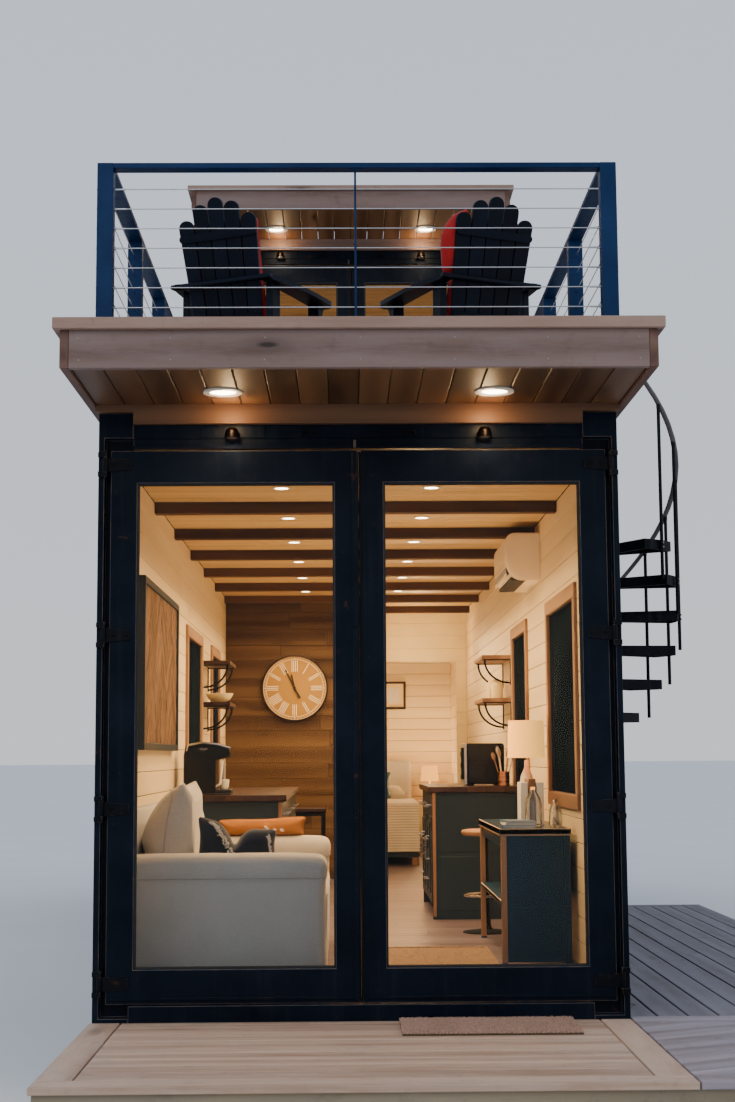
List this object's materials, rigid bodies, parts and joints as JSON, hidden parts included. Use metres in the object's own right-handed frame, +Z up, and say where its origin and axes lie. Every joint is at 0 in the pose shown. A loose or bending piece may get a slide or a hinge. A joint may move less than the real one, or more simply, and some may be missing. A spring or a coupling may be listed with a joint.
{
  "type": "shipping container cabin",
  "caption": "Two-storey cabin of two steel shipping containers with glazed double doors, timber canopies, a cable-railed roof deck, ground decks and a spiral stair.",
  "frame": {"origin": "ground level under the front wall of the lower container, on its centre line, in the plane of the closed lower doors' front faces", "axes": "+X to the right seen from the front, +Y to the rear along the containers, +Z up"},
  "size_m": [4.046, 13.722, 6.002],
  "materials": {
    "navy_steel": "black-navy semi-gloss paint with worn edges",
    "dark_metal": "black paint, rust at the edges",
    "black_steel": "black satin paint",
    "concrete": "cast concrete, rough",
    "floor_wood": "light oak boards, satin",
    "white_boarding": "cream painted shiplap",
    "pine_boarding": "pine boards, clear varnish",
    "dark_beam": "dark stained timber",
    "brown_boarding": "orange-brown reclaimed boards",
    "cedar": "oiled cedar with knots",
    "cedar_soffit": "oiled cedar boards, warm",
    "deck_wood": "weathered deck boards",
    "framing_timber": "sawn treated timber",
    "clear_glass": "clear glazing",
    "light_trim": "white trim ring, lit lens",
    "bronze": "dark bronze",
    "stainless_cable": "stainless strand",
    "sofa_fabric": "beige linen weave",
    "cushion_fabric": "woven covers",
    "dark_joinery": "dark painted joinery",
    "white_plastic": "white moulded case",
    "bedding": "white bedding",
    "painted_slats": "black painted slats",
    "red_fabric": "red outdoor fabric"
  },
  "bodies": {
    "root": {"foundation_pads": "concrete", "lower_corner_posts": "navy_steel", "lower_rails": "navy_steel", "door_surround": "navy_steel", "lower_side_walls": "navy_steel", "lower_rear_wall": "navy_steel", "roof_panels": "navy_steel", "floors": "floor_wood", "side_linings": "white_boarding", "ceiling_lining": "pine_boarding", "ceiling_beams": "dark_beam", "feature_wall": "brown_boarding", "cross_walls": "white_boarding", "window_frames": "dark_metal", "window_casings": "cedar", "window_glass": "clear_glass", "hinge_lugs": "dark_metal", "canopy_boards": "cedar", "canopy_soffit": "cedar_soffit", "canopy_ledger": "cedar", "downlights": "light_trim", "header_spots": "bronze", "roof_deck_boards": "deck_wood", "roof_framing": "framing_timber", "railing_posts": "navy_steel", "railing_top_rails": "navy_steel", "railing_cables": "stainless_cable", "upper_frame": "navy_steel", "upper_side_walls": "navy_steel", "upper_lining": "white_boarding", "upper_doors": "navy_steel", "upper_door_glass": "clear_glass", "upper_canopy": "cedar", "stair_column": "black_steel", "stair_treads": "black_steel", "stair_balusters": "black_steel", "stair_handrail": "black_steel", "ground_deck_boards": "deck_wood", "deck_frame": "framing_timber", "sofa": "sofa_fabric", "sofa_cushions": "cushion_fabric", "cabinets": "dark_joinery", "desk": "dark_joinery", "wall_shelves": "dark_beam", "small_furniture": "dark_metal", "air_conditioner": "white_plastic", "wall_panel_and_clock": "dark_beam", "bed": "bedding", "roof_chairs": "painted_slats", "chair_cushions": "red_fabric"},
    "left_door": {"left_door_frame": "navy_steel", "left_door_glass": "clear_glass", "left_door_hinges": "dark_metal"},
    "right_door": {"right_door_frame": "navy_steel", "right_door_glass": "clear_glass", "right_door_hinges": "dark_metal"}
  },
  "joints": [
    {"name": "left_door_hinge", "type": "hinge", "parent": "root", "child": "left_door", "pos_m": [-1.186, -0.014, 0.38], "axis": [0, 0, -1], "range_deg": [0, 180]},
    {"name": "right_door_hinge", "type": "hinge", "parent": "root", "child": "right_door", "pos_m": [1.186, -0.014, 0.38], "axis": [0, 0, 1], "range_deg": [0, 180]}
  ]
}
